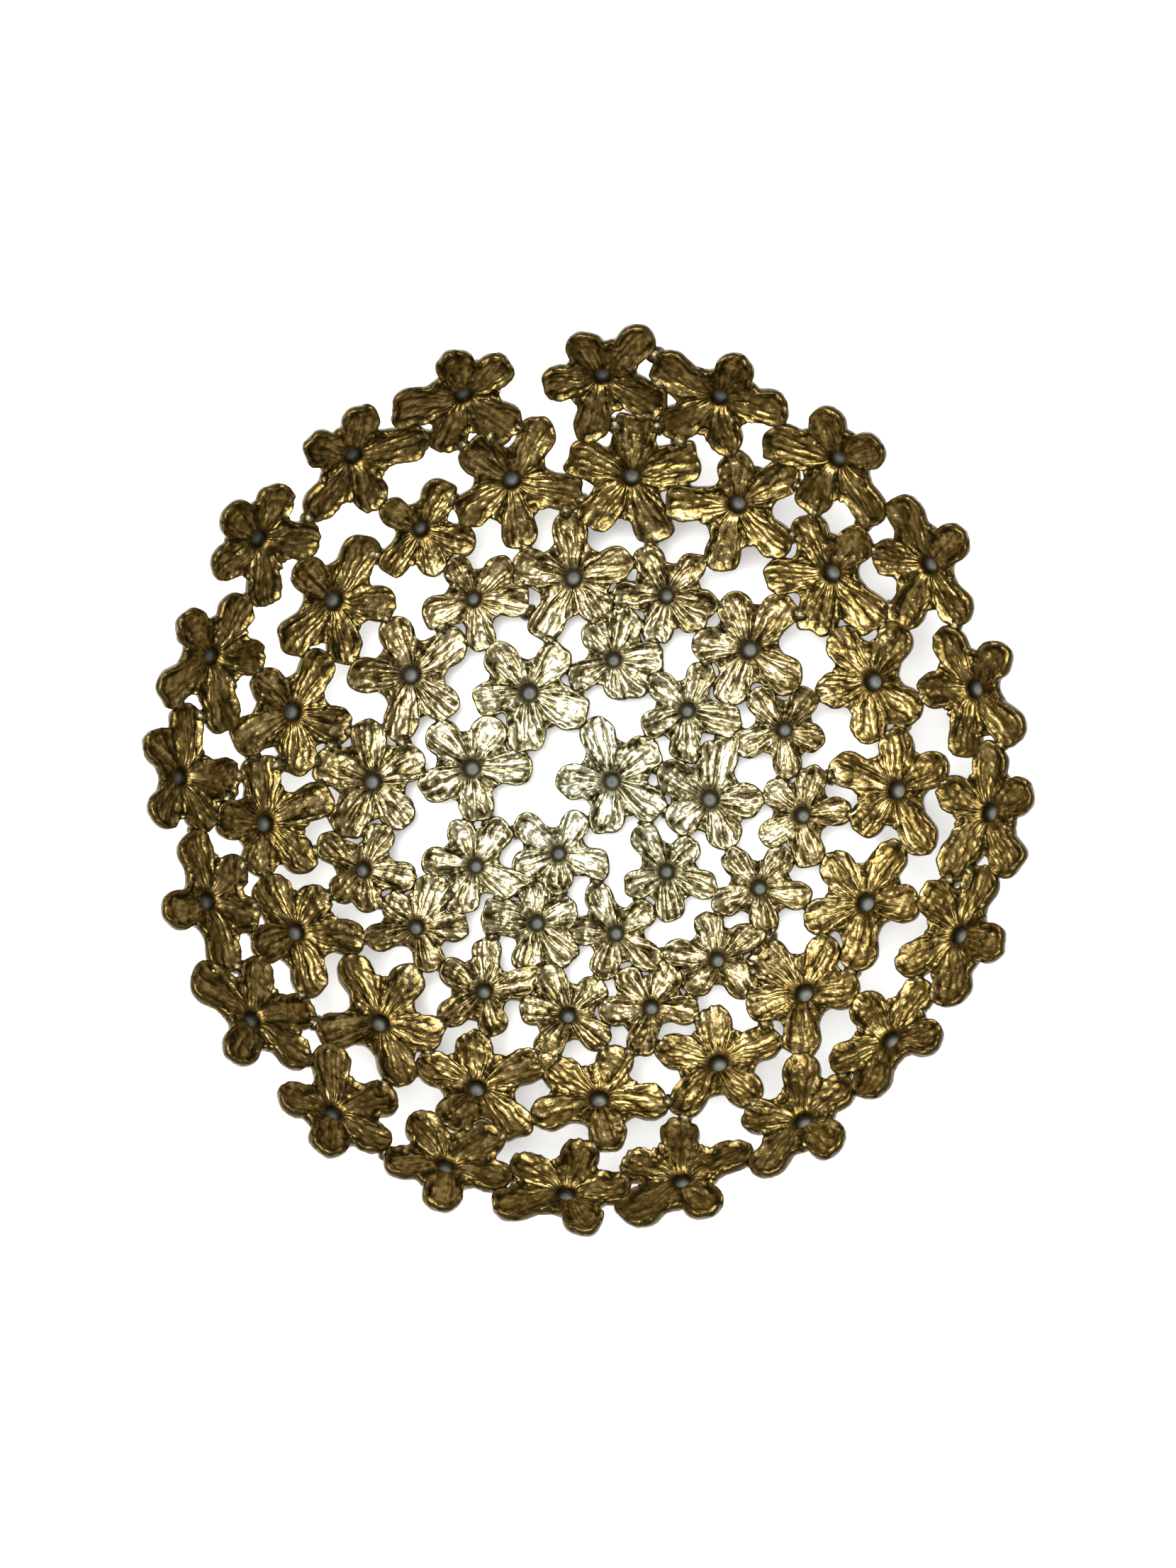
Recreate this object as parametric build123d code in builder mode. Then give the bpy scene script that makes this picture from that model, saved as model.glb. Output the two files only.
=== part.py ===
from build123d import *
import math
import os
from collections import namedtuple

# A flower frog in the form of an open bowl: cast brass flowers brazed petal tip to petal tip.
# Stems pass through the gaps between the petals. Millimetres, +Z up. The bowl stands at the
# origin on the flat ends of the pit bosses under its floor flowers.

# The bowl, along its slope in section: a flat floor, then one arc up the side.
floor_radius = 38.0         # flat part of the floor
side_radius = 95.0          # curve of the side, measured to the petals' inner faces
nesting = 0.83              # how far neighbouring rings close up on each other, 1 is tip to tip

# The two cast flowers. Reach is from the pit to a petal tip.
FlowerSize = namedtuple("FlowerSize", "reach petal_width pit_mouth")
large = FlowerSize(reach=19.5, petal_width=11.4, pit_mouth=4.4)
small = FlowerSize(reach=14.8, petal_width=9.2, pit_mouth=3.6)
thickness = 2.8             # of the petals
longest_share = 1.12        # longest petal, as a share of the usual reach
shortest_share = 0.5        # shortest petal
free_share = 0.9            # petal that meets nothing, as at the rim
heart_share = 0.42          # solid middle of a flower, as a share of its reach
root_share = 0.72           # width of a petal at its root, as a share of its full width
flare = 1.6                 # how far the pit opens out at the petals' inner face
throat = 1.8                # depth of that flare
pit_depth = 6.4             # from the petals' inner face to the pit's floor
boss_length = 5.4           # of the boss that holds the pit, below the petals
boss_radius = 3.0           # of the flat end of the boss

# The brazing.
braze_gap = 0.45            # clear gap left between neighbouring petals
braze_span = 3.0            # widest gap that a drop of braze bridges
drop_radius = 1.8           # of a drop of braze in a closed gap
extra_per_gap = 0.3         # added to a drop's radius for each millimetre of gap
smallest_lump = 0.3         # cubic millimetres, below this a lump is a stray crumb

growth_step = 0.25          # fineness of the search for a petal's length
discs_per_petal = 6         # discs that stand for one petal in that search

# The layout, ring by ring from the middle of the floor to the rim. Each flower is its azimuth
# in degrees, its distance up the slope from its ring's line in millimetres, its size, and its
# petals' directions in degrees, turned counterclockwise from straight up the slope.
floor_middle = [
    (22, -6, large, (20, 85, 160, 240, 305)),
    (245, +8, small, (25, 100, 175, 255, 315)),
]
floor_ring = [
    (79, +1, small, (50, 130, 200, 230, 285, 350)),
    (39, -1, small, (30, 100, 165, 225, 305)),
    (356, -3, large, (80, 155, 220, 295, 360)),
    (314, -6, small, (25, 95, 170, 250, 320)),
    (281, +4, small, (40, 115, 195, 255, 330)),
    (249, +3, small, (5, 60, 130, 205, 285)),
    (214, +1, small, (40, 115, 200, 260, 320)),
    (169, -4, large, (40, 110, 190, 255, 325)),
    (121, -5, large, (10, 70, 150, 210, 290)),
]
lower_ring = [
    (94, -1, large, (0, 70, 145, 215, 285)),
    (68, -2, small, (45, 110, 190, 250, 280, 340)),
    (41, -1, large, (10, 65, 130, 205, 285)),
    (17, -4, small, (35, 110, 185, 260, 325)),
    (353, -1, small, (10, 80, 145, 220, 290)),
    (330, -7, small, (15, 80, 160, 235, 310)),
    (307, -2, small, (5, 90, 155, 225, 285)),
    (286, +2, small, (65, 130, 205, 265, 330)),
    (265, +2, small, (55, 140, 210, 270, 335)),
    (243, +2, small, (40, 125, 205, 270, 335)),
    (219, 0, small, (70, 140, 215, 280, 340)),
    (200, +6, small, (25, 75, 150, 225, 310)),
    (178, -1, large, (60, 130, 210, 280, 345)),
    (147, -2, large, (35, 110, 170, 250, 325)),
    (121, +2, small, (75, 160, 235, 290, 360)),
]
wall_ring = [
    (82, +2, large, (0, 70, 145, 210, 295)),
    (62, +4, large, (25, 115, 190, 255, 330)),
    (41, +5, large, (5, 70, 140, 215, 275)),
    (20, -2, large, (35, 105, 170, 245, 305)),
    (359, -1, large, (25, 85, 155, 225, 300)),
    (337, -4, large, (15, 80, 150, 220, 290)),
    (316, -5, large, (40, 105, 175, 240, 315)),
    (295, -3, large, (15, 85, 160, 230, 300)),
    (272, -1, large, (10, 80, 155, 235, 290)),
    (250, +2, large, (60, 135, 205, 270, 345)),
    (229, 0, large, (55, 115, 190, 250, 330)),
    (207, +4, large, (75, 150, 215, 280, 360)),
    (187, +4, large, (70, 130, 200, 275, 355)),
    (166, -2, large, (40, 110, 180, 260, 335)),
    (144, +2, large, (75, 140, 215, 285, 355)),
    (123, 0, small, (25, 105, 165, 225, 310)),
    (104, +3, large, (40, 110, 175, 245, 320)),
]
rim_ring = [
    (88, +2, large, (25, 95, 170, 245, 325)),
    (71, +2, large, (70, 140, 205, 285, 350)),
    (52, +2, large, (40, 105, 185, 255, 330)),
    (32, 0, large, (5, 70, 135, 210, 275)),
    (13, -3, large, (30, 100, 165, 245, 305)),
    (355, -2, large, (20, 85, 155, 235, 305)),
    (337, -3, large, (0, 80, 145, 230, 295)),
    (319, -5, large, (30, 95, 165, 245, 300)),
    (302, -4, large, (10, 90, 150, 230, 300)),
    (283, -1, large, (20, 100, 170, 235, 310)),
    (267, 0, large, (25, 95, 165, 240, 300)),
    (250, -1, large, (10, 90, 145, 230, 300)),
    (233, +2, large, (20, 85, 150, 220, 305)),
    (216, 0, large, (25, 105, 160, 230, 300)),
    (198, -4, large, (5, 85, 145, 215, 275)),
    (180, 0, large, (55, 120, 185, 270, 320)),
    (162, -3, large, (50, 120, 200, 265, 335)),
    (144, +2, large, (65, 135, 215, 295, 360)),
    (126, 0, large, (35, 110, 170, 250, 325)),
    (108, +2, large, (0, 75, 145, 220, 300)),
]
rings = {
    "floor_middle": floor_middle,
    "floor_ring": floor_ring,
    "lower": lower_ring,
    "wall": wall_ring,
    "rim": rim_ring,
}
grouped_rings = ("floor_ring",)     # rings whose flowers share one node

pit_floor = boss_length + thickness     # from the petals' inner face to the boss's flat end


class Flower:
    """One cast flower: where it sits, its size, and its petals' directions and reaches."""

    def __init__(self, ring, number, seat, size, directions):
        self.ring = ring
        self.number = number
        self.seat = seat
        self.size = size
        self.directions = directions
        self.reaches = [size.reach * shortest_share for _ in directions]
        self.corner = tuple(seat.origin)
        self.axes = [tuple(seat.x_dir), tuple(seat.y_dir), tuple(seat.z_dir)]

    def world(self, x, y, z):
        """A point of the flower's own plane, in the bowl's frame."""
        return tuple(
            corner + x * along + y * across + z * inward
            for corner, along, across, inward in zip(self.corner, *self.axes)
        )

    def petal_discs(self, petal):
        """Discs along one petal from root to tip, as a centre and a radius each."""
        angle = math.radians(self.directions[petal])
        tip_radius = self.size.petal_width / 2
        root_radius = tip_radius * root_share
        root = self.size.reach * heart_share - root_radius / 2
        tip = self.reaches[petal] - tip_radius
        discs = []
        for step in range(discs_per_petal):
            share = step / (discs_per_petal - 1)
            distance = root + share * (tip - root)
            centre = self.world(distance * math.cos(angle), distance * math.sin(angle), 0)
            discs.append((centre, root_radius + share * (tip_radius - root_radius)))
        return discs


def seat_on_bowl(azimuth, slope_distance):
    """The plane that a flower sits on: x up the slope, z out of the inner face."""
    tilt = max(0.0, (slope_distance - floor_radius) / side_radius)
    radius = min(slope_distance, floor_radius) + side_radius * math.sin(tilt)
    height = pit_floor + side_radius * (1 - math.cos(tilt))
    turn = math.radians(azimuth)
    outward = Vector(math.cos(turn), math.sin(turn), 0)
    upward = Vector(0, 0, 1)
    return Plane(
        origin=outward * radius + upward * height,
        x_dir=outward * math.cos(tilt) + upward * math.sin(tilt),
        z_dir=upward * math.cos(tilt) - outward * math.sin(tilt),
    )


def lay_out_flowers():
    """Seat every flower. Each ring's line follows from the sizes of the flowers beside it."""
    flowers = []
    line = 0.0
    previous_reach = 0.0
    for ring, layout in rings.items():
        ring_reach = sum(size.reach for _, _, size, _ in layout) / len(layout)
        line += nesting * (previous_reach + ring_reach)
        previous_reach = ring_reach
        for number, (azimuth, climb, size, directions) in enumerate(layout, start=1):
            seat = seat_on_bowl(azimuth, line + climb)
            flowers.append(Flower(ring, number, seat, size, directions))
    return flowers


def find_neighbours(flowers):
    """Pairs of flowers that are near enough for their petals to meet."""
    pairs = []
    for index, one in enumerate(flowers):
        for other in flowers[index + 1:]:
            together = (one.size.reach + other.size.reach) * longest_share
            if math.dist(one.corner, other.corner) < together:
                pairs.append((one, other))
    return pairs


def disc_gap(disc, other_disc):
    """Clear distance between the edges of two discs."""
    return math.dist(disc[0], other_disc[0]) - disc[1] - other_disc[1]


def grow_petals(flowers, pairs):
    """Lengthen every petal until it meets a neighbour or is as long as the casting allows.

    A petal that meets nothing, as at the rim, is left a little short of the usual reach.
    """
    beside = {id(flower): [] for flower in flowers}
    for one, other in pairs:
        beside[id(one)].append(other)
        beside[id(other)].append(one)
    growing = [(flower, petal) for flower in flowers for petal in range(len(flower.directions))]
    while growing:
        still_growing = []
        for flower, petal in growing:
            flower.reaches[petal] += growth_step
            discs = flower.petal_discs(petal)
            blocked = any(
                disc_gap(disc, other_disc) < braze_gap
                for other in beside[id(flower)]
                for other_petal in range(len(other.directions))
                for other_disc in other.petal_discs(other_petal)
                for disc in discs[-2:]
            )
            if blocked:
                flower.reaches[petal] -= growth_step
            elif flower.reaches[petal] < flower.size.reach * longest_share:
                still_growing.append((flower, petal))
        growing = still_growing
    for flower in flowers:
        for petal in range(len(flower.directions)):
            meets_something = any(
                disc_gap(flower.petal_discs(petal)[-1], other_disc) < braze_span
                for other in beside[id(flower)]
                for other_petal in range(len(other.directions))
                for other_disc in other.petal_discs(other_petal)
            )
            if not meets_something:
                flower.reaches[petal] = min(flower.reaches[petal], flower.size.reach * free_share)


def petal_outline(size, reach):
    """One petal along +X: a narrow root that widens to a full round tip."""
    tip_radius = size.petal_width / 2
    root_radius = tip_radius * root_share
    with BuildSketch() as outline:
        with Locations((size.reach * heart_share - root_radius / 2, 0)):
            Circle(root_radius)
        with Locations((reach - tip_radius, 0)):
            Circle(tip_radius)
        make_hull()
    return outline.sketch


def cast_flower(flower):
    """A plate cut to the flower's petals, with the pit and the boss that holds it."""
    heart = flower.size.reach * heart_share
    mouth = flower.size.pit_mouth / 2
    with BuildPart() as casting:
        with BuildSketch(Plane.XY.offset(-thickness)):
            Circle(heart)
            for direction, reach in zip(flower.directions, flower.reaches):
                add(petal_outline(flower.size, reach), rotation=direction)
        extrude(amount=thickness)
        with BuildSketch(Plane.XZ):
            Polygon(
                (0, -thickness),
                (heart - thickness / 2, -thickness),
                (boss_radius, -pit_floor),
                (0, -pit_floor),
                align=None,
            )
        revolve(axis=Axis.Z)
        with BuildSketch(Plane.XZ):
            Polygon(
                (0, 0),
                (mouth + flare, 0),
                (mouth, -throat),
                (mouth / 2, -pit_depth),
                (0, -pit_depth),
                align=None,
            )
        revolve(axis=Axis.Z, mode=Mode.SUBTRACT)
    return casting.part.moved(flower.seat.location)


def closest_discs(one, other):
    """Where two flowers' petals come nearest, closest first: the gap, and the plane midway."""
    meetings = []
    for petal in range(len(one.directions)):
        for other_petal in range(len(other.directions)):
            gap, disc, other_disc = min(
                (disc_gap(disc, other_disc), disc, other_disc)
                for disc in one.petal_discs(petal)
                for other_disc in other.petal_discs(other_petal)
            )
            start = Vector(*disc[0])
            toward = (Vector(*other_disc[0]) - start).normalized()
            inward = (one.seat.z_dir + other.seat.z_dir).normalized()
            point = start + toward * (disc[1] + gap / 2) - inward * (thickness / 2)
            meetings.append((gap, Plane(origin=point, x_dir=toward.cross(inward), z_dir=inward)))
    return sorted(meetings, key=lambda meeting: meeting[0])


def braze_drops(pairs):
    """Drops of braze, each with its plane, radius and two flowers. A wide gap takes a big drop."""
    drops = []
    for one, other in pairs:
        placed = []
        for gap, midway in closest_discs(one, other):
            apart = all((midway.origin - earlier).length > 2 * drop_radius for earlier in placed)
            if gap < braze_span and apart:
                placed.append(midway.origin)
                drops.append((midway, drop_radius + gap * extra_per_gap, one, other))
    return drops


def gather_lumps(drops):
    """Drops that run into each other become one lump of braze."""
    lumps = []
    for drop in drops:
        touching = [
            lump for lump in lumps
            if any((drop[0].origin - member[0].origin).length < drop[1] + member[1] for member in lump)
        ]
        merged = [drop]
        for lump in touching:
            merged += lump
            lumps.remove(lump)
        lumps.append(merged)
    return lumps


def braze_lump(lump, castings, flowers):
    """A lump of braze, shaped by the castings that it runs between."""
    near = [
        castings[id(flower)] for flower in flowers
        if any(
            math.dist(flower.corner, tuple(midway.origin)) < flower.size.reach * longest_share + radius
            for midway, radius, _, _ in lump
        )
    ]
    with BuildPart() as braze:
        for midway, radius, _, _ in lump:
            with Locations(midway):
                Sphere(radius)
        add(near, mode=Mode.SUBTRACT)
    return [solid for solid in braze.part.solids() if solid.volume > smallest_lump]


def write_node(name, pieces):
    """Write one named node, with its pieces as separate solids."""
    with BuildPart() as node:
        add(pieces)
    node.part.label = name
    export_step(node.part, f"parts/{name}.step")


os.makedirs("parts", exist_ok=True)

flowers = lay_out_flowers()
pairs = find_neighbours(flowers)
grow_petals(flowers, pairs)

castings = {id(flower): cast_flower(flower) for flower in flowers}

for ring in rings:
    members = [flower for flower in flowers if flower.ring == ring]
    if ring in grouped_rings:
        write_node(f"{ring}_flowers", [castings[id(flower)] for flower in members])
    else:
        for flower in members:
            write_node(f"{ring}_flower_{flower.number:02d}", [castings[id(flower)]])

# A lump belongs to the highest ring that it holds.
ring_order = list(rings)
brazing = {ring: [] for ring in rings}
for lump in gather_lumps(braze_drops(pairs)):
    highest = max(ring_order.index(flower.ring) for drop in lump for flower in drop[2:])
    brazing[ring_order[highest]] += braze_lump(lump, castings, flowers)
for ring, lumps in brazing.items():
    write_node(f"{ring}_brazing", lumps)

print("flowers", len(flowers), "lumps of braze", {ring: len(v) for ring, v in brazing.items()})
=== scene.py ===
import math

import bpy
import numpy as np
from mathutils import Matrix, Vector


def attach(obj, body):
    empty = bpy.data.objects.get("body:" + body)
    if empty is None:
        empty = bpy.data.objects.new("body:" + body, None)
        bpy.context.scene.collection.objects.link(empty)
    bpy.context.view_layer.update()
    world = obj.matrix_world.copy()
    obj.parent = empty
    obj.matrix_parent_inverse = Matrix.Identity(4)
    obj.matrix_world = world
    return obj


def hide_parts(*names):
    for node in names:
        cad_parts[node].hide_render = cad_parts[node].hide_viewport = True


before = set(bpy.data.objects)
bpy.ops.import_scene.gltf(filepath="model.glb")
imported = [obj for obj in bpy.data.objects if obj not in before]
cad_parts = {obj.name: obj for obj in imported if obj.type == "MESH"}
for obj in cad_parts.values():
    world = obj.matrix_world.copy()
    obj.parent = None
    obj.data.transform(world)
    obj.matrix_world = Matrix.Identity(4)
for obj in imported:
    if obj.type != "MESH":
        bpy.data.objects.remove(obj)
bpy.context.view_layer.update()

mm = 0.001      # the scene is in metres, the shapes below are worked out in millimetres

studio = {
    "lens": 32.9,                       # mm
    "sensor": 36,                       # mm
    "elevation": 84.5,                  # degrees above the table, from the -Y side
    "distance": 400,                    # mm from the middle of the rim
    "target": (0, -3.5, 64),            # mm
    "lampsAt": (0, 0, 30),              # mm, where the lamps point
    "keyPlace": (-150, 60, 900),        # mm, the large lamp overhead
    "keySize": 620,
    "keyPower": 15,
    "sidePlace": (-520, 330, 560),      # a small lamp, low from the left
    "sideSize": 160,
    "sidePower": 2.2,
    "ambient": (0.4, 0.55),             # light of the room at eye level and overhead
    "floorHex": "#fbfbf9",
    "floorHalf": 9000,                  # mm, half the floor's side
    "floorGlow": 0.2,                   # lit from behind a little, as a light table is
}


def linearColour(hexCode):
    # sRGB hex to linear light: ((c + 0.055) / 1.055) to the power 2.4 above the foot of the curve
    parts = [int(hexCode[i:i + 2], 16) / 255 for i in (1, 3, 5)]
    linear = [c / 12.92 if c <= 0.04045 else ((c + 0.055) / 1.055) ** 2.4 for c in parts]
    return (*linear, 1.0)


def addNode(tree, kind, settings=None, links=None):
    # a node with its settings, plain attributes or input sockets, and what feeds its inputs
    node = tree.nodes.new(kind)
    for name, value in (settings or {}).items():
        if isinstance(name, int) or name in node.inputs:
            node.inputs[name].default_value = value
        else:
            setattr(node, name, value)
    for name, source in (links or {}).items():
        tree.links.new(source, node.inputs[name])
    return node


def emptyMaterial(name):
    # a material with nothing in its node tree yet
    material = bpy.data.materials.new(name)
    material.use_nodes = True
    tree = material.node_tree
    tree.nodes.clear()
    return material, tree


def addLamp(name, place, size, power):
    # a round soft lamp, size mm across, turned towards the bowl
    data = bpy.data.lights.new(name, "AREA")
    data.shape = "DISK"
    data.size = size * mm
    data.energy = power
    lamp = bpy.data.objects.new(name, data)
    lamp.location = np.array(place) * mm
    toBowl = (np.array(studio["lampsAt"]) - np.array(place)) * mm
    lamp.rotation_euler = Vector(toBowl).to_track_quat("-Z", "Y").to_euler()
    bpy.context.scene.collection.objects.link(lamp)


def makeStudio():
    # camera, floor, two lamps and the light of the room, which is brighter overhead
    scene = bpy.context.scene
    scene.view_settings.view_transform = "Standard"
    tilt = math.radians(90 - studio["elevation"])
    back = np.array((0, -math.sin(tilt), math.cos(tilt))) * studio["distance"]
    data = bpy.data.cameras.new("camera")
    data.lens = studio["lens"]
    data.sensor_width = studio["sensor"]
    data.clip_start = 0.01
    camera = bpy.data.objects.new("camera", data)
    camera.location = (np.array(studio["target"]) + back) * mm
    camera.rotation_euler = (tilt, 0, 0)
    scene.collection.objects.link(camera)
    scene.camera = camera

    half = studio["floorHalf"] * mm
    mesh = bpy.data.meshes.new("floor")
    mesh.from_pydata([(-half, -half, 0), (half, -half, 0), (half, half, 0), (-half, half, 0)],
                     [], [(0, 1, 2, 3)])
    floor = bpy.data.objects.new("floor", mesh)
    scene.collection.objects.link(floor)
    material, tree = emptyMaterial("matt white card")
    shader = addNode(tree, "ShaderNodeBsdfPrincipled", {
        "Base Color": linearColour(studio["floorHex"]), "Roughness": 0.9,
        "Emission Color": (1, 1, 1, 1), "Emission Strength": studio["floorGlow"]})
    addNode(tree, "ShaderNodeOutputMaterial", links={"Surface": shader.outputs[0]})
    mesh.materials.append(material)

    addLamp("overheadLamp", studio["keyPlace"], studio["keySize"], studio["keyPower"])
    addLamp("sideLamp", studio["sidePlace"], studio["sideSize"], studio["sidePower"])
    world = bpy.data.worlds.new("studioAir")
    world.use_nodes = True
    sky = world.node_tree.nodes["Background"]
    sky.inputs[0].default_value = (1, 1, 1, 1)
    direction = addNode(world.node_tree, "ShaderNodeTexCoord").outputs["Generated"]
    upward = addNode(world.node_tree, "ShaderNodeSeparateXYZ", links={0: direction}).outputs["Z"]
    dim, full = studio["ambient"]
    glow = addNode(world.node_tree, "ShaderNodeMapRange", {1: 0.0, 2: 0.9, 3: dim, 4: full},
                   {0: upward})
    world.node_tree.links.new(glow.outputs[0], sky.inputs[1])
    scene.world = world


def looseBodies(node):
    # the node's points, merged where they coincide, and its triangles split into bodies that
    # share no point: every point takes the lowest label that it meets until nothing changes
    mesh = node.data
    points = np.empty(len(mesh.vertices) * 3, np.float32)
    mesh.vertices.foreach_get("co", points)
    points = points.reshape(-1, 3).astype(float) / mm
    corners = np.empty(len(mesh.loops), np.int32)
    mesh.loops.foreach_get("vertex_index", corners)
    _, first, merged = np.unique(np.round(points, 3), axis=0, return_index=True,
                                 return_inverse=True)
    points = points[first]
    triangles = merged.reshape(-1)[corners].reshape(-1, 3)
    label = np.arange(len(points))
    settled = False
    while not settled:
        lowest = label[triangles].min(axis=1)
        spread = label.copy()
        for corner in range(3):
            np.minimum.at(spread, triangles[:, corner], lowest)
        spread = spread[spread]
        settled = (spread == label).all()
        label = spread
    bodies = [(points, triangles[label[triangles[:, 0]] == name])
              for name in np.unique(label[triangles[:, 0]])]
    return [body for body in bodies if len(body[1]) > 8]     # fewer is a stray sliver


def triangleFrames(points, triangles):
    # corner points, doubled area and unit normal of every triangle
    a, b, c = (points[triangles[:, k]] for k in range(3))
    cross = np.cross(b - a, c - a)
    area = np.linalg.norm(cross, axis=1)
    return a, b, c, area, cross / np.maximum(area, 1e-12)[:, None]


def circleThrough(points):
    # centre of the circle nearest to the points: x^2 + y^2 = 2 a x + 2 b y + c, by least squares
    terms = np.column_stack([2 * points, np.ones(len(points))])
    return np.linalg.lstsq(terms, (points ** 2).sum(axis=1), rcond=None)[0][:2]


def seatOfFlower(points, triangles):
    # inward axis: the normal that most of the area shares, with the boss behind it.
    # middle: the centre of the circle through the boss's end, on the petals' inner face.
    # up: straight up the bowl's slope.
    a, b, c, area, normals = triangleFrames(points, triangles)
    likely = np.argsort(area)[-24:]
    shared = (np.abs(normals[likely] @ normals.T) > 0.9999) @ area
    inward = normals[likely[np.argmax(shared)]]
    along = normals @ inward
    flat = np.abs(along) > 0.9999
    inward = (normals[flat] * (np.sign(along[flat]) * area[flat])[:, None]).sum(axis=0)
    inward /= np.linalg.norm(inward)
    used = points[np.unique(triangles)]
    levels = used @ inward
    meanLevel = ((a + b + c)[flat] @ inward / 3 * area[flat]).sum() / area[flat].sum()
    if meanLevel < (levels.max() + levels.min()) / 2:
        inward, levels = -inward, -levels
    bossEnd = used[levels < levels.min() + 0.05]
    radial = bossEnd.mean(axis=0) * (1, 1, 0)
    radial /= np.linalg.norm(radial)
    up = radial - radial @ inward * inward
    up /= np.linalg.norm(up)
    across = np.cross(inward, up)
    centre = circleThrough(np.stack([bossEnd @ up, bossEnd @ across], 1))
    middle = centre[0] * up + centre[1] * across + levels.max() * inward
    return middle, np.array([up, across, inward])


def outlineOfFlower(points, triangles, middle, axes, pitEdge):
    # straight runs of the petals' outline: edges that only one triangle of the inner face has
    local = (points - middle) @ axes.T
    onTop = (local[triangles][:, :, 2] > -0.02).all(axis=1)
    pairs = [triangles[onTop][:, pair] for pair in ([0, 1], [1, 2], [2, 0])]
    runs, times = np.unique(np.sort(np.concatenate(pairs), 1), axis=0, return_counts=True)
    runs = runs[times == 1]
    radii = np.linalg.norm(local[:, :2], axis=1)
    outer = (radii[runs] > pitEdge).all(axis=1)
    pitRadius = radii[runs[~outer]].max()
    return local[runs[outer][:, 0], :2], local[runs[outer][:, 1], :2], pitRadius


def reachOfOutline(angles, starts, ends):
    # farthest crossing of a ray from the middle with the outline's straight runs:
    # (start x run) / (ray x run)
    ray = np.stack([np.cos(angles), np.sin(angles)], 1)[:, None]
    run = (ends - starts)[None]
    start = starts[None]
    turn = ray[..., 0] * run[..., 1] - ray[..., 1] * run[..., 0]
    turn = np.where(np.abs(turn) < 1e-9, 1e-9, turn)
    reach = (start[..., 0] * run[..., 1] - start[..., 1] * run[..., 0]) / turn
    share = (start[..., 0] * ray[..., 1] - start[..., 1] * ray[..., 0]) / turn
    hit = (share > -1e-4) & (share < 1.0001) & (reach > 0)
    return np.where(hit, reach, 0).max(axis=1)


def ease(value, low, high):
    # 0 below low, 1 above high, an S-curve between
    t = np.clip((value - low) / (high - low), 0, 1)
    return t * t * (3 - 2 * t)


def hillNoise(u, v, lattice):
    # random heights at whole numbers, eased between them, from -1 to 1
    n = len(lattice)
    i, j = np.floor(u).astype(int), np.floor(v).astype(int)
    s, t = ease(u - i, 0, 1), ease(v - j, 0, 1)
    near = lattice[i % n, j % n] * (1 - s) + lattice[(i + 1) % n, j % n] * s
    far = lattice[i % n, (j + 1) % n] * (1 - s) + lattice[(i + 1) % n, (j + 1) % n] * s
    return near * (1 - t) + far * t


def roundNoise(angles, random, lowest, highest):
    # waves that close on themselves round the flower, with random strengths and phases
    waves = np.arange(lowest, highest)
    strength = random.normal(size=len(waves)) / math.sqrt(len(waves) / 2)
    phase = random.uniform(0, 2 * math.pi, len(waves))
    return (strength * np.cos(np.outer(angles, waves) + phase)).sum(axis=1)


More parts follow.
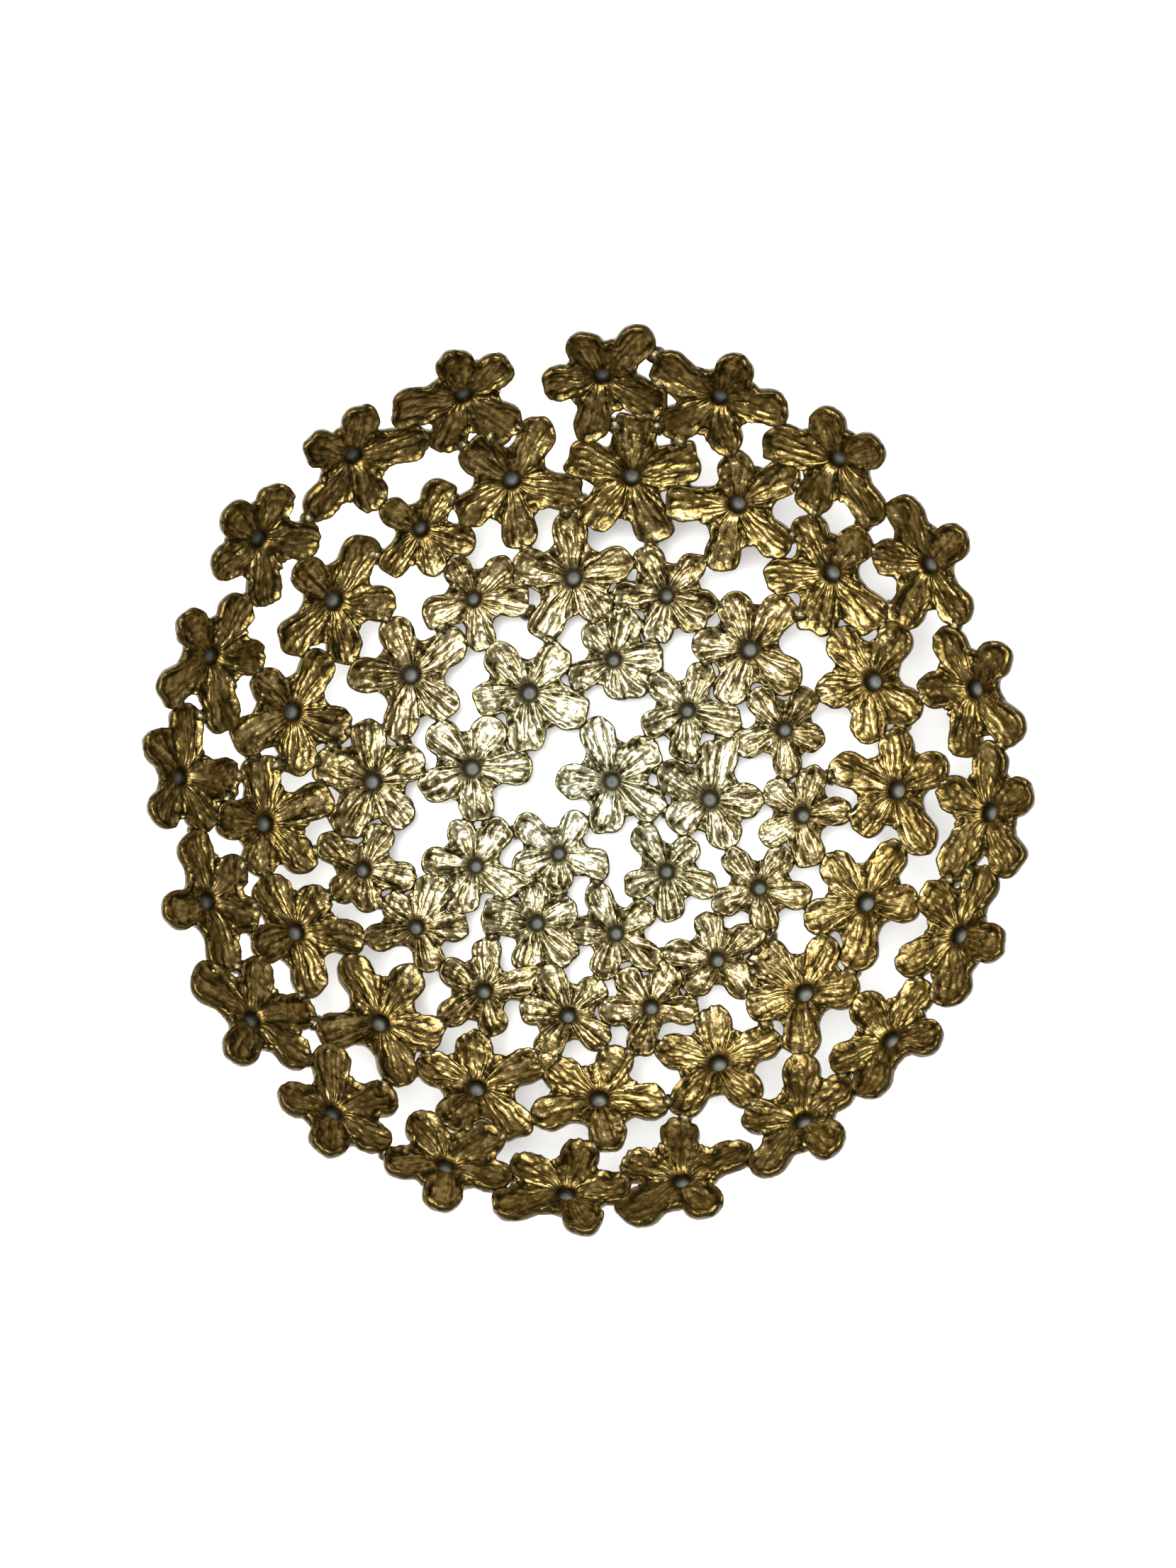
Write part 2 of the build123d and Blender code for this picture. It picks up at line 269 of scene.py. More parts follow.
flower = {
    "outlineSteps": 720,        # directions in which a casting's outline is read
    "spokesLarge": 256,         # grid lines from the pit to the margin
    "spokesSmall": 208,
    "petalRings": 26,
    "marginCrowding": 1.35,     # above 1, the rings gather towards the margin
    "pitEdge": 4.4,             # mm, past the pit's flare and inside the heart of every flower
    "largePit": 3.6,            # mm, a pit whose flare is wider than this is a large flower's
    # outline
    "gapSmooth": 0.06,          # radians, smoothing of the outline that leaves one low between petals
    "lineFrom": 4,              # mm, a petal's line weighs the outline beyond this radius
    "wobble": 0.014,            # unevenness of the outline
    "wobbleWaves": (5, 19),
    "swell": 0.45,              # mm, the outline beyond the plain casting's
    "heartFill": 0.88,          # outline between petals, as a share of the flower's smoothed outline
    "heartSmooth": 0.3,         # radians, that smoothing
    "drawnMost": 4.5,           # mm, how far a petal is drawn out to reach its braze
    "drawnWidth": 3.4,          # mm, breadth of that part of the margin
    "drawnLevel": 5,            # mm, braze farther above or below the flower belongs to others
    # pit and boss, turned about the flower's axis, in mm
    "pitRings": (0.7, 1.2, 1.65, 1.95, 2.2, 2.45, 2.75, 3.1, 3.6, 4.2),
    "pitRadii": (0, 0.7, 1.2, 1.65, 2.0, 2.3, 2.55, 2.9, 3.4, 4.1, 5.4, 7.5),
    "pitDepths": (6.0, 5.95, 5.9, 5.7, 5.0, 3.5, 2.2, 1.6, 1.1, 0.75, 0.35, 0),
    "smallPit": 0.84,           # a small flower's pit, as a share of a large one's
    "bossRings": (5.9, 5.3, 4.7, 4.1, 3.5, 3.15, 2.8, 1.8),
    "bossRadii": (0, 2.8, 3.15, 3.5, 4.7, 5.3, 5.9, 7.0),
    "bossDepths": (8.2, 8.2, 8.0, 7.3, 4.3, 3.3, 2.9, 2.8),
    "smallBoss": 0.74,          # a small flower's boss, as a share of a large one's
    # the petals' general shape
    "plate": 2.8,               # mm
    "edgeWidth": 0.85,          # mm, the margins are round over this width
    "heartEnd": 4.5,            # mm from the axis, where cupping starts
    "cupRise": 1.2,             # mm, margins above the middle of a petal
    "cupWidth": 4.2,
    "tipRise": (-0.5, 1.7),     # mm, how far a tip curls up half way, least and most
    "tipPast": 1.4,             # the whole curl, as a share of that
    "curlFrom": (0.35, 1.1),    # starts and is full, as shares of the longest reach
    "roll": 0.10,               # twist of a petal about its line
    "rollFrom": (0.3, 0.8),
    "halfWidth": (0.31, 0.36),  # of a petal, and how soon it gets there, as shares of the longest reach
    "bend": 0.35,               # sideways curve of the folds, in half widths
    # folds, dents and creases
    "lattice": 61,              # cells of noise before it repeats
    "foldHeight": 0.75,         # mm, folds along the petals, on the flat-lying flowers
    "foldHeightUp": 0.45,       # mm, the same on the flowers that stand up the side
    "foldCount": 3.8,           # cells of noise in half a petal's width
    "foldCountSpread": (0.85, 1.2),
    "foldLength": 13,           # mm
    "foldSharpness": 1.7,       # above 1, narrower creases between rounder folds
    "foldMiddle": 0.6,          # a fold's mean height, taken off so that folds go up and down
    "finerFolds": 0.4,          # folds of half the size, as a share of the main ones
    "foldFrom": (2.0, 4.6),     # mm from the axis
    "foldDepth": (0.2, 1.9),    # mm from the margin, where folds start and are full
    "waver": 0.1,               # how much a fold wanders sideways, in half widths
    "crumple": 0.27,            # mm, dents of the casting
    "crumpleSize": 1.15,        # mm
    "finerDents": 0.6,
    "dentsFrom": (1.5, 5),      # mm from the axis
    "valley": 0.22,             # mm, crease from the pit to the gap between two petals
    "valleyWidth": 0.9,
    "valleyFrom": (2.6, 5),     # mm from the axis
    # margin
    "standing": (0.02, 0.4),    # 1 - cosine of a flower's lean, lying flat and fully standing
    "rollAtFloor": 0.15,        # how much of the rolled margin the flat-lying flowers keep
    "rolledMean": 0.75,         # the rolled margin comes and goes round the flower
    "rolledSpread": 0.6,
    "rolledMost": 1.5,
    "rolledWaves": (2, 16),
    "lip": (0.2, 1.0, 0.75),    # mm, its height, how far inside the margin, half its breadth
    "crease": (0.42, 2.1, 0.6), # mm, the groove inside the lip, measured the same way
    "crinkle": 0.22,            # mm, unevenness of the margin's height
    "crinkleWaves": (14, 46),
    "crinkleWidth": 1.6,        # mm
    "lipFrom": 7,               # mm from the axis, where the margin is fully rolled
    "cupFull": 8,               # mm from the axis, where cupping is full
    # wear, for the finish
    "under": 0.7,               # share of the folds that shows on the underside
    "streakFan": 9,             # fine streaks fan out from the pit, this many in a radian
    "streakLength": 4,          # mm
    "streakUnder": 40,          # mm, moves the underside's streaks away from the top's
}


def smoothed(reach, width):
    # an outline with its short waves taken out: each wave fades as exp(-(wave x width)^2 / 2)
    waves = np.fft.rfftfreq(len(reach), 1 / len(reach))
    return np.fft.irfft(np.fft.rfft(reach) * np.exp(-(waves * width) ** 2 / 2), len(reach))


def petalSectors(starts, ends):
    # petals lie between lows of the smoothed outline; a petal's line is its mean direction,
    # weighted by how far the outline stands beyond the pit
    steps = flower["outlineSteps"]
    step = 2 * math.pi / steps
    angles = np.arange(steps) * step
    reach = reachOfOutline(angles, starts, ends)
    smooth = smoothed(reach, flower["gapSmooth"])
    lows = np.flatnonzero((smooth < np.roll(smooth, 1)) & (smooth <= np.roll(smooth, -1)))
    lines = []
    for low, high in zip(lows, [*lows[1:], lows[0] + steps]):
        inside = np.arange(low, high)
        weight = (reach[inside % steps] - flower["lineFrom"]) ** 2
        lines.append((inside * weight).sum() / weight.sum() * step)
    return angles, reach, lows * step, np.array(lines)


def spokeAngles(angles, reach, count):
    # spokes spaced half by angle and half by length along the outline
    rim = np.stack([reach * np.cos(angles), reach * np.sin(angles)], 1)
    steps = np.linalg.norm(np.roll(rim, -1, axis=0) - rim, axis=1)
    walked = np.concatenate([[0], np.cumsum(steps / steps.sum() + 1 / len(steps))]) / 2
    return np.interp(np.arange(count) / count, walked, np.append(angles, 2 * math.pi))


def drawnOut(phi, rim, beads):
    # where a bead of braze lies just past the margin, the margin runs out to its middle:
    # a smooth hump of the missing length round the bead's direction
    look = flower
    distance = np.hypot(beads[:, 0], beads[:, 1])
    direction = np.arctan2(beads[:, 1], beads[:, 0])
    missing = distance - np.interp(direction, phi, rim, period=2 * math.pi)
    near = (np.abs(beads[:, 2]) < look["drawnLevel"]) & (missing > 0) & (missing < look["drawnMost"])
    turn = np.angle(np.exp(1j * (phi[:, None] - direction[near])))
    humps = missing[near] * np.exp(-(turn * distance[near] / look["drawnWidth"]) ** 2)
    return humps.max(axis=1, initial=0)


def castOutline(phi, angles, reach, starts, ends, beads, random):
    # the casting's own outline, softened, made uneven, swollen, filled in at the heart and
    # drawn out to the braze
    look = flower
    rim = reachOfOutline(phi, starts, ends)
    rim = (np.roll(rim, 1) + 2 * rim + np.roll(rim, -1)) / 4
    rim = rim * (1 + look["wobble"] * roundNoise(phi, random, *look["wobbleWaves"])) + look["swell"]
    heart = smoothed(reach, look["heartSmooth"])
    rim = np.maximum(rim, look["heartFill"] * np.interp(phi, angles, heart, period=2 * math.pi))
    return rim + drawnOut(phi, rim, beads)


def marginDistance(x, y, edgeX, edgeY):
    # shortest distance from each grid point to the outline's straight runs
    ax, ay = edgeX[None], edgeY[None]
    bx, by = np.roll(edgeX, -1)[None] - ax, np.roll(edgeY, -1)[None] - ay
    px, py = x.reshape(-1, 1) - ax, y.reshape(-1, 1) - ay
    t = np.clip((px * bx + py * by) / (bx ** 2 + by ** 2), 0, 1)
    return np.sqrt(((px - t * bx) ** 2 + (py - t * by) ** 2).min(axis=1)).reshape(x.shape)


def polarGrid(rim, phi, pitScale):
    # rings of the pit at fixed radii, then rings spread from there to the margin:
    # share = 1 - (1 - step)^crowding
    look = flower
    inner = np.array(look["pitRings"]) * pitScale
    steps = np.arange(1, look["petalRings"] + 1) / look["petalRings"]
    share = 1 - (1 - steps) ** look["marginCrowding"]
    radius = np.concatenate([np.repeat(inner[:, None], len(phi), 1),
                             inner[-1] + (rim - inner[-1]) * share[:, None]])
    x, y = radius * np.cos(phi), radius * np.sin(phi)
    return radius, x, y, marginDistance(x, y, rim * np.cos(phi), rim * np.sin(phi))


def placeInPetal(radius, phi, lows, lines):
    # for each point: its petal, its place beside and along the petal's line, how near the
    # petal's sides it is (0 on the line, 1 in the gap) and its distance from the gap's line
    angle = np.broadcast_to(phi, radius.shape)
    petal = (np.searchsorted(lows, angle, side="right") - 1) % len(lows)
    turned = np.where(angle < lows[0], angle + 2 * math.pi, angle)
    off = turned - lines[petal]
    low = lows[petal]
    high = np.where(petal == len(lows) - 1, lows[0] + 2 * math.pi, lows[(petal + 1) % len(lows)])
    sector = np.where(off < 0, off / (lines[petal] - low), off / (high - lines[petal]))
    toGap = np.minimum(np.minimum(np.abs(turned - low), np.abs(high - turned)), math.pi / 2)
    return petal, radius * np.sin(off), radius * np.cos(off), np.abs(sector), radius * np.sin(toGap)


def roundedCells(u, v, lattice):
    # noise folded at zero into sharp creases, with round backs between them
    cells = np.abs(hillNoise(u, v, lattice))
    return 1 - (1 - np.minimum(flower["foldSharpness"] * cells, 1)) ** 2


def foldsAlong(lane, along, petal, petals, lattice, random):
    # folds run along the petal: noise that is short across it and long along it, in two sizes
    look = flower
    cells = look["foldCount"] * random.uniform(*look["foldCountSpread"], petals)[petal]
    shift = random.uniform(0, len(lattice) - 1, (4, petals))[:, petal]
    lane = lane + look["waver"] * hillNoise(lane * 2 + shift[1], along / 3 + shift[2], lattice)
    length = look["foldLength"]
    main = roundedCells(lane * cells + shift[0], along / length + shift[1], lattice)
    finer = roundedCells(lane * cells * 2 + shift[2], along / (length * 0.5) + shift[3], lattice)
    return main - look["foldMiddle"] + look["finerFolds"] * (finer - look["foldMiddle"])


def crumpledDents(x, y, lattice):
    # uneven dents in two sizes, the finer ones about half as large
    look = flower
    u, v = x / look["crumpleSize"], y / look["crumpleSize"]
    coarse = hillNoise(u + 20, v + 20, lattice)
    return coarse + look["finerDents"] * hillNoise(u * 1.9 + 7, v * 1.9 + 9, lattice)


def rolledMargin(depth, phi, standing, random):
    # a lip and a groove inside it, each height x exp(-((depth - place) / breadth)^2), and
    # an uneven edge
    look = flower
    kept = look["rollAtFloor"] + (1 - look["rollAtFloor"]) * standing
    comesAndGoes = roundNoise(phi, random, *look["rolledWaves"])
    rolled = kept * np.clip(look["rolledMean"] + look["rolledSpread"] * comesAndGoes, 0, look["rolledMost"])
    lip, groove = (height * np.exp(-((depth - place) / breadth) ** 2)
                   for height, place, breadth in (look["lip"], look["crease"]))
    crinkle = look["crinkle"] * roundNoise(phi, random, *look["crinkleWaves"]) \
        * np.exp(-(depth / look["crinkleWidth"]) ** 2)
    return rolled * (lip - groove) + crinkle


def wearAndShadeMarks(relief, lip, depth, bowl, keep, count):
    # for every point of the top, the underside and the boss: the first mark is 1 where patina stays in the
    # hollows, and also carries painted shade down the pit's walls and along the margin's edge, and a darker
    # ground over the underside and the boss; rub is 1 where ridges are worn bright, pit is 1 on the pit's
    # dull floor
    # first mark on top: patina in the folds' hollows, painted shade along the margin's steep edge and down
    # the pit's walls
    top = np.stack([
        np.maximum(np.maximum(ease(-relief, -0.05, 0.4), 0.7 * (1 - ease(depth, 0.1, 0.7))),
                   ease(-bowl, 1.9, 3.0)),
        ease(relief - 0.6 * lip, 0.0, 0.5) * ease(depth, 0.5, 1.1),
        ease(-bowl, 3.4, 5.2)], 2)
    under = relief[keep]
    zero = np.zeros(under.shape)
    below = np.stack([0.25 + 0.6 * ease(under, 0.0, 0.5), 0.8 * ease(-under, 0.0, 0.45), zero], 2)
    boss = np.zeros((len(flower["bossRings"]), count, 3)) + (0.45, 0, 0)
    marks = np.concatenate([top, below, boss]).reshape(-1, 3)
    return np.concatenate([marks, [[0.6, 0, 1], [0.7, 0, 0]]])


def flowerSurface(starts, ends, beads, small, leaning, random):
    # heights over a polar grid: radius from the pit's middle to the margin, angle all the way
    # round. Returns the closed surface's points, their marks of wear and painted shade, their place in
    # the fan of streaks, (fan x cos, fan x sin, radius / length), and how many rings and spokes there are.
    look = flower
    angles, reach, lows, lines = petalSectors(starts, ends)
    count = look["spokesSmall"] if small else look["spokesLarge"]
    pitScale = look["smallPit"] if small else 1
    bossScale = look["smallBoss"] if small else 1
    phi = spokeAngles(angles, reach, count)
    rim = castOutline(phi, angles, reach, starts, ends, beads, random)
    radius, x, y, depth = polarGrid(rim, phi, pitScale)
    petal, side, along, sector, fromGap = placeInPetal(radius, phi, lows, lines)
    petals, tip = len(lows), rim.max()

    bend = random.uniform(-look["bend"], look["bend"], petals)[petal]
    width, soon = look["halfWidth"]
    lane = side / (width * tip * (1 - np.exp(-along / (soon * tip)))) + bend * (along / tip) ** 2
    lattice = random.uniform(-1, 1, (look["lattice"], look["lattice"]))
    standing = ease(leaning, *look["standing"])
    foldHeight = look["foldHeight"] + (look["foldHeightUp"] - look["foldHeight"]) * standing
    begins, full = look["foldFrom"]
    inPetal = ease(radius, begins * pitScale, full * pitScale) * (1 - ease(sector, 0.85, 1))
    folds = foldsAlong(lane, along, petal, petals, lattice, random) \
        * foldHeight * inPetal * ease(depth, *look["foldDepth"])
    dents = crumpledDents(x, y, lattice) * look["crumple"] * ease(radius, *look["dentsFrom"])
    valley = look["valley"] * np.exp(-(fromGap / look["valleyWidth"]) ** 2) \
        * ease(radius, *look["valleyFrom"])
    heartEnd = look["heartEnd"]
    lip = rolledMargin(depth, phi, standing, random) * ease(radius, heartEnd, look["lipFrom"])
    relief = folds + dents - valley + lip

    cup = look["cupRise"] * (1 - ease(depth, 0, look["cupWidth"])) * ease(radius, heartEnd, look["cupFull"])
    begins, full = look["curlFrom"]
    curl = random.uniform(*look["tipRise"], petals)[petal] \
        * ease(along, begins * tip, full * tip) * look["tipPast"]
    begins, full = look["rollFrom"]
    twist = random.uniform(-1, 1, petals)[petal] * look["roll"] * side \
        * ease(along, begins * tip, full * tip)
    shape = cup + curl + twist
    bowl = -np.interp(radius, np.array(look["pitRadii"]) * pitScale, look["pitDepths"])
    fromEdge = np.minimum(depth / look["edgeWidth"], 1)
    edge = look["plate"] / 2 * ((1 - (1 - fromEdge) ** 3) ** (1 / 3) - 1)
    top = shape + bowl + relief + edge

    # underside: the same spokes back to the boss, on every second petal ring
    bossRings = np.array(look["bossRings"]) * bossScale
    keep = np.arange(len(look["pitRings"]) + 1, len(radius) - 1, 2)[::-1]
    keep = keep[radius[keep].min(axis=1) > bossRings[0]]
    underRadius = np.concatenate([radius[keep], np.repeat(bossRings[:, None], count, 1)])
    under = -np.interp(underRadius, np.array(look["bossRadii"]) * bossScale, look["bossDepths"])
    under[:len(keep)] += shape[keep] + look["under"] * (relief[keep] - lip[keep]) - edge[keep]

    allRadii, heights = np.concatenate([radius, underRadius]), np.concatenate([top, under])
    grid = np.stack([allRadii * np.cos(phi), allRadii * np.sin(phi), heights], 2)
    poles = [[0, 0, -look["pitDepths"][0]], [0, 0, -look["bossDepths"][0]]]
    fromPit = np.concatenate([radius, underRadius + look["streakUnder"]]) / look["streakLength"]
    fan = look["streakFan"] * np.stack([np.cos(phi), np.sin(phi)], 1)
    fan = np.broadcast_to(fan, (len(grid), *fan.shape))
    streak = np.concatenate([fan, fromPit[..., None] + random.uniform(0, 90)], 2)
    return (np.concatenate([grid.reshape(-1, 3), poles]),
            wearAndShadeMarks(relief, lip, depth, bowl, keep, count),
            np.concatenate([streak.reshape(-1, 3), np.zeros((2, 3))]), len(grid), count)


def gridFaces(rings, count):
    # quads between rings of count points each, and triangles to the point that closes each end
    here = np.arange(count)
    after = (here + 1) % count
    base = np.arange(rings - 1)[:, None] * count
    quads = np.stack([base + here, base + count + here, base + count + after, base + after], 2)
    last = (rings - 1) * count
    start = np.stack([np.full(count, rings * count), here, after], 1)
    finish = np.stack([np.full(count, rings * count + 1), last + after, last + here], 1)
    return quads.reshape(-1, 4), np.concatenate([start, finish])


def closedGrid(name, points, rings, count, material, marks, streak):
    # a closed skin over the rings, with its marks kept for the material
    piece = wholeMesh(name, points, *gridFaces(rings, count), material)
    for k, label in enumerate(("patinaAndShade", "rub", "pit")):
        field = piece.data.attributes.new(label, "FLOAT", "POINT")
        field.data.foreach_set("value", marks[:, k].astype(np.float32))
    field = piece.data.attributes.new("streak", "FLOAT_VECTOR", "POINT")
    field.data.foreach_set("vector", streak.astype(np.float32).ravel())
    return piece


def wholeMesh(name, points, quads, triangles, material):
    # a smooth mesh of quads and triangles, from points in mm
    mesh = bpy.data.meshes.new(name)
    mesh.vertices.add(len(points))
    mesh.vertices.foreach_set("co", (points * mm).astype(np.float32).ravel())
    mesh.loops.add(quads.size + triangles.size)
    corners = np.concatenate([quads.ravel(), triangles.ravel()])
    mesh.loops.foreach_set("vertex_index", corners.astype(np.int32))
    mesh.polygons.add(len(quads) + len(triangles))
    begins = np.concatenate([np.arange(len(quads)) * 4, quads.size + np.arange(len(triangles)) * 3])
    mesh.polygons.foreach_set("loop_start", begins.astype(np.int32))
    mesh.polygons.foreach_set("use_smooth", np.ones(len(begins), bool))
    mesh.update(calc_edges=True)
    mesh.validate()
    mesh.materials.append(material)
    piece = bpy.data.objects.new(name, mesh)
    bpy.context.scene.collection.objects.link(piece)
    return piece


def makeFlower(name, node, points, triangles, beads, seed, material):
    # one casting, built where its plain solid stands
    middle, axes = seatOfFlower(points, triangles)
    starts, ends, pitRadius = outlineOfFlower(points, triangles, middle, axes, flower["pitEdge"])
    small = pitRadius < flower["largePit"]
    nearBeads = (beads - middle) @ axes.T
    leaning = 1 - axes[2][2]
    local, marks, streak, rings, count = flowerSurface(
        starts, ends, nearBeads, small, leaning, np.random.default_rng(seed))
    piece = closedGrid(name, local @ axes + middle, rings, count, material, marks, streak)
    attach(piece, "root")
    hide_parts(node)


braze = {
    "across": 10,           # points round a bead
    "tall": 7,              # rings of a bead
    "swell": 1.12,          # beads beyond the plain ones, which the castings cut into
    "lumps": 0.12,          # unevenness, as a share of the radius
    "lumpsMost": 1.5,       # the same, at most, in usual lumps
}


def brazeBeads(points, bodies, random):
    # every bead is an egg along its body's own three directions, swollen unevenly:
    # radius = half extent x (1 + lumps x noise)
    look = braze
    down = ((np.arange(look["tall"]) + 0.5) / look["tall"] * math.pi)[:, None]
    turn = np.arange(look["across"]) * 2 * math.pi / look["across"]
    level = np.cos(down) + 0 * turn
    ball = np.stack([np.sin(down) * np.cos(turn), np.sin(down) * np.sin(turn), level], 2).reshape(-1, 3)
    ball = np.concatenate([ball, [[0, 0, 1], [0, 0, -1]]])
    beads = []
    for triangles in bodies:
        a, b, c, area, _ = triangleFrames(points, triangles)
        middle = ((a + b + c) / 3 * area[:, None]).sum(axis=0) / area.sum()
        own = points[np.unique(triangles)] - middle
        axes = np.linalg.svd(own, full_matrices=False)[2]
        if np.linalg.det(axes) < 0:
            axes[2] = -axes[2]
        half = (np.abs(own @ axes.T)).max(axis=0) * look["swell"]
        noise = random.normal(size=len(ball)).clip(-look["lumpsMost"], look["lumpsMost"])
        bump = 1 + look["lumps"] * noise
        beads.append(ball * bump[:, None] * half @ axes + middle)
    return np.array(beads)


def middlesOfBeads(nodes):
    # mean point of every bead's own points
    return np.array([points[np.unique(triangles)].mean(axis=0)
                     for node in nodes for points, triangles in looseBodies(node)])


def makeBraze(name, node, material, seed):
    # all the beads of one ring, as one piece
    parts = looseBodies(node)
    points = parts[0][0]
    bodies = sorted((triangles for _, triangles in parts),
                    key=lambda t: tuple(np.round(points[np.unique(t)].mean(axis=0), 1)))
    beads = brazeBeads(points, bodies, np.random.default_rng(seed))
    quads, caps = gridFaces(braze["tall"], braze["across"])
    move = np.arange(len(beads))[:, None, None] * beads.shape[1]
    piece = wholeMesh(name, beads.reshape(-1, 3), (quads[None] + move).reshape(-1, 4),
                      (caps[None] + move).reshape(-1, 3), material)
    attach(piece, "root")
    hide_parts(node.name)


castBrass = {
    "bright": "#dcdcc6",        # rubbed ridges
    "rimBrightInShade": "#b39c66",     # the same up the side, darker and browner as painted shade
    "body": "#979370",
    # painted shade: the body colour up the side, darker and browner
    "rimBodyInShade": "#705c2f",
    # patina, and also the colour of the painted shade down the pits' walls and along the margins' edges
    "patina": "#332c17",
    "pitHex": "#63645c",        # dull grey oxide down the pits
    "pitMetal": 0.25,           # the oxide hides most of the metal there
    "pitRough": 0.3,            # and is this much rougher
    "roughness": (0.24, 0.46),
    "sideShadeFrom": (0.004, 0.088), # m from the axis, where the painted shade up the side starts and is full
    "sideStreaks": 0.4,         # streaks up the side, as a share of those on the floor
    "grainSize": 0.7,           # mm, cast grain
    "grainDepth": 0.11,         # mm
    "streakDepth": 0.15,        # mm, creases of the wax pattern, fanned out from the pit
    "streakDark": 0.7,          # patina left in those creases
    "crackSize": 1.3,           # mm, fine crumpling, as of foil
    "crackDepth": 0.19,         # mm
    "blotchSize": 9,            # mm
    "blotchDark": 0.55,         # patina left in patches
}

brazeAlloy = {
    "body": "#7c7150",
    "dark": "#3a3524",          # old flux
    "roughness": (0.25, 0.5),
    "grainSize": 0.8,           # mm
    "grainDepth": 0.1,          # mm
    "grainShare": 0.6,          # of that depth, as it froze smooth
}

noiseSpan = (0.3, 0.7)          # where nearly all of a noise's values lie


def pointMark(tree, name, output="Fac"):
    # what the mesh keeps at each point under that name
    return addNode(tree, "ShaderNodeAttribute", {"attribute_name": name}).outputs[output]


def noiseOf(tree, place, size, **settings):
    # noise in cells of the given size, in the units of its place
    node = addNode(tree, "ShaderNodeTexNoise", {"Scale": 1 / size, **settings}, {"Vector": place})
    return node.outputs[0]


def rangeOf(tree, source, start, finish, low=0.0, high=1.0):
    # low where the source is at start, high where it is at finish, straight between them
    settings = {1: start, 2: finish, 3: low, 4: high}
    return addNode(tree, "ShaderNodeMapRange", settings, {0: source}).outputs[0]


def mixOf(tree, share, first, second):
    # first + share x (second - first), each a hex colour or what feeds it
    settings, links = {"data_type": "RGBA"}, {0: share}
    for socket, colour in ((6, first), (7, second)):
        if isinstance(colour, str):
            settings[socket] = linearColour(colour)
        else:
            links[socket] = colour
    return addNode(tree, "ShaderNodeMix", settings, links).outputs[2]


def mathOf(tree, operation, first, second):
    node = addNode(tree, "ShaderNodeMath", {"operation": operation}, {0: first, 1: second})
    return node.outputs[0]


def reliefOf(tree, height, depth, **links):
    # fine relief, depth in mm, on top of the normal and the strength that feed it
    node = addNode(tree, "ShaderNodeBump", {"Strength": 1.0, "Distance": depth * mm},
                   {"Height": height, **links})
    return node.outputs[0]


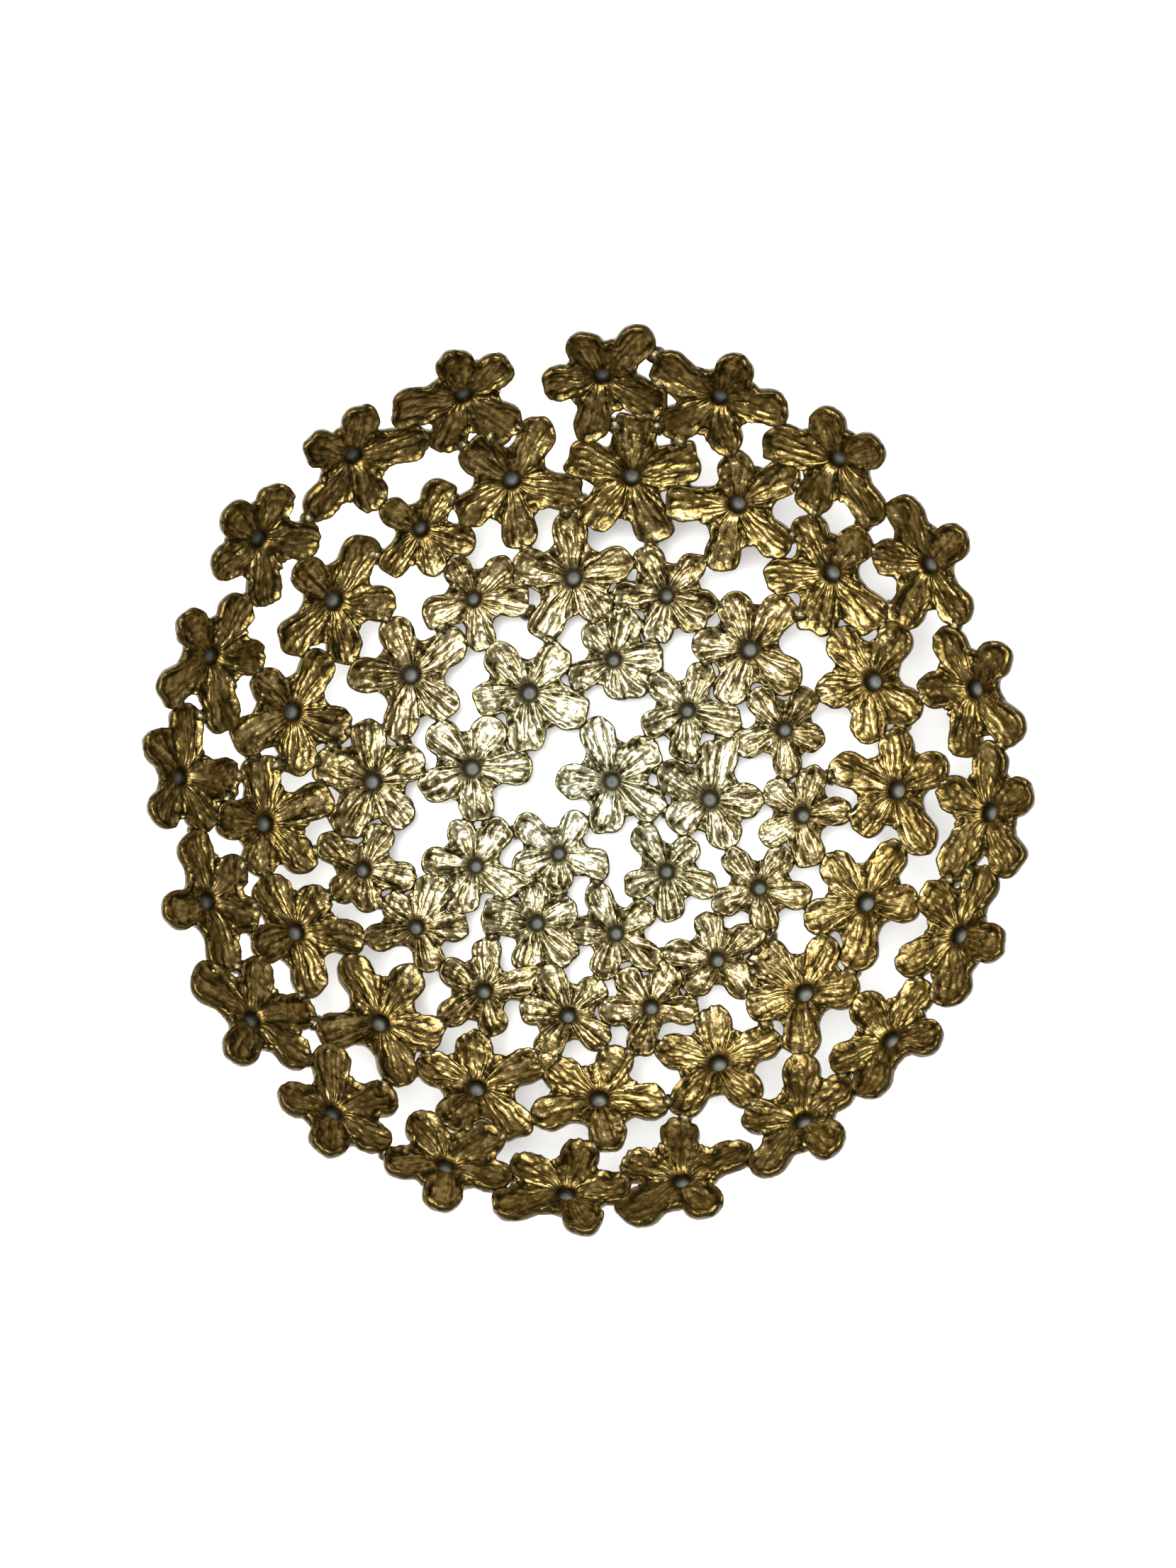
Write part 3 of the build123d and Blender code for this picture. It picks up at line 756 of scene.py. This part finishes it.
def antiqueBrass():
    # lost-wax cast brass with an antique gold finish: brown patina left in the hollows, ridges
    # rubbed back to pale metal, so the eye sees small glints over a dark olive gold. Shade is also painted
    # into the colour: down the pits' walls, along the margins' edges and up the bowl's side.
    look = castBrass
    material, tree = emptyMaterial("antiqued cast brass with painted shade")
    place = addNode(tree, "ShaderNodeTexCoord").outputs["Object"]
    patinaAndShade, rub, pit = (pointMark(tree, name) for name in ("patinaAndShade", "rub", "pit"))
    blotch = noiseOf(tree, place, look["blotchSize"] * mm, Detail=4.0, Roughness=0.6)
    fine = noiseOf(tree, place, look["grainSize"] * mm, Detail=3.0, Roughness=0.6)
    streaks = noiseOf(tree, pointMark(tree, "streak", "Vector"), 1.0, Detail=3.0, Roughness=0.6,
                      Distortion=0.4)
    cracks = noiseOf(tree, place, look["crackSize"] * mm, noise_type="RIDGED_MULTIFRACTAL",
                     Detail=2.0)

    # painted shade: the colours darken and turn browner with distance from the bowl's axis, standing in for
    # the darker surroundings that the leaning flowers up the side reflect; the streaks calm there too
    level = addNode(tree, "ShaderNodeVectorMath", {"operation": "MULTIPLY", 1: (1, 1, 0)}, {0: place})
    fromAxis = addNode(tree, "ShaderNodeVectorMath", {"operation": "LENGTH"}, {0: level.outputs[0]})
    upTheSide = rangeOf(tree, fromAxis.outputs["Value"], *look["sideShadeFrom"])
    body = mixOf(tree, upTheSide, look["body"], look["rimBodyInShade"])
    bright = mixOf(tree, upTheSide, look["bright"], look["rimBrightInShade"])
    calm = rangeOf(tree, upTheSide, 0.0, 1.0, 1.0, look["sideStreaks"])

    # patina lies in hollows, in patches and along the darkest streaks; the same dark also paints
    # shade down the pits' walls and along the margins' edges
    patchy = rangeOf(tree, blotch, 0.38, 0.72, 0.0, look["blotchDark"])
    lines = rangeOf(tree, streaks, 0.46, 0.28, 0.0, look["streakDark"])
    patinaShadeAndPatches = mathOf(tree, "MAXIMUM", patinaAndShade, patchy)
    dark = mathOf(tree, "MAXIMUM", patinaShadeAndPatches, mathOf(tree, "MULTIPLY", lines, calm))
    dirtyAndShaded = mixOf(tree, dark, body, look["patina"])
    rubbed = mixOf(tree, rub, dirtyAndShaded, bright)
    greyed = mixOf(tree, pit, rubbed, look["pitHex"])

    rough = rangeOf(tree, fine, *noiseSpan, *look["roughness"])
    dull = addNode(tree, "ShaderNodeMath", {"operation": "MULTIPLY_ADD", 1: look["pitRough"]},
                   {0: pit, 2: rough})
    cracked = reliefOf(tree, cracks, look["crackDepth"])
    streaked = reliefOf(tree, streaks, look["streakDepth"], Strength=calm, Normal=cracked)
    grained = reliefOf(tree, fine, look["grainDepth"], Normal=streaked)
    metal = rangeOf(tree, pit, 0.0, 1.0, 1.0, look["pitMetal"])
    shader = addNode(tree, "ShaderNodeBsdfPrincipled", links={
        "Base Color": greyed, "Roughness": dull.outputs[0], "Metallic": metal, "Normal": grained})
    addNode(tree, "ShaderNodeOutputMaterial", links={"Surface": shader.outputs[0]})
    return material


def brazedJoint():
    # silver-bearing brazing alloy, melted in place and left as it froze: grey against the brass,
    # smooth and shiny in places, sooty with old flux in patches
    look = brazeAlloy
    material, tree = emptyMaterial("silver braze as it froze")
    place = addNode(tree, "ShaderNodeTexCoord").outputs["Object"]
    soot = noiseOf(tree, place, look["grainSize"] * mm, Detail=3.0)
    colour = mixOf(tree, rangeOf(tree, soot, 0.4, 0.65), look["dark"], look["body"])
    rough = rangeOf(tree, soot, *noiseSpan, *look["roughness"])
    bump = addNode(tree, "ShaderNodeBump", {
        "Strength": look["grainShare"], "Distance": look["grainDepth"] * mm}, {"Height": soot})
    shader = addNode(tree, "ShaderNodeBsdfPrincipled", {"Metallic": 1.0}, {
        "Base Color": colour, "Roughness": rough, "Normal": bump.outputs[0]})
    addNode(tree, "ShaderNodeOutputMaterial", links={"Surface": shader.outputs[0]})
    return material


makeStudio()
print("studio ready")
brass, alloy = antiqueBrass(), brazedJoint()
beadMiddles = middlesOfBeads([node for name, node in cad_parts.items() if name.endswith("brazing")])
print(len(beadMiddles), "beads found")
seed = 11       # each node has a seed of its own, and so does each flower of the floor ring
for nodeName in sorted(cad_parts):
    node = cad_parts[nodeName]
    if nodeName.endswith("brazing"):
        makeBraze(nodeName.replace("brazing", "braze_beads"), node, alloy, seed)
    else:
        parts = looseBodies(node)
        middles = [points[np.unique(triangles)].mean(axis=0) for points, triangles in parts]
        order = np.argsort([math.atan2(m[1], m[0]) for m in middles])
        for place, index in enumerate(order):
            ending = "casting" if len(parts) == 1 else f"{place + 1:02d}"
            makeFlower(f"{nodeName}_{ending}", nodeName, *parts[index], beadMiddles,
                       seed + 100 * place, brass)
    seed += 1
    print(nodeName, "done")
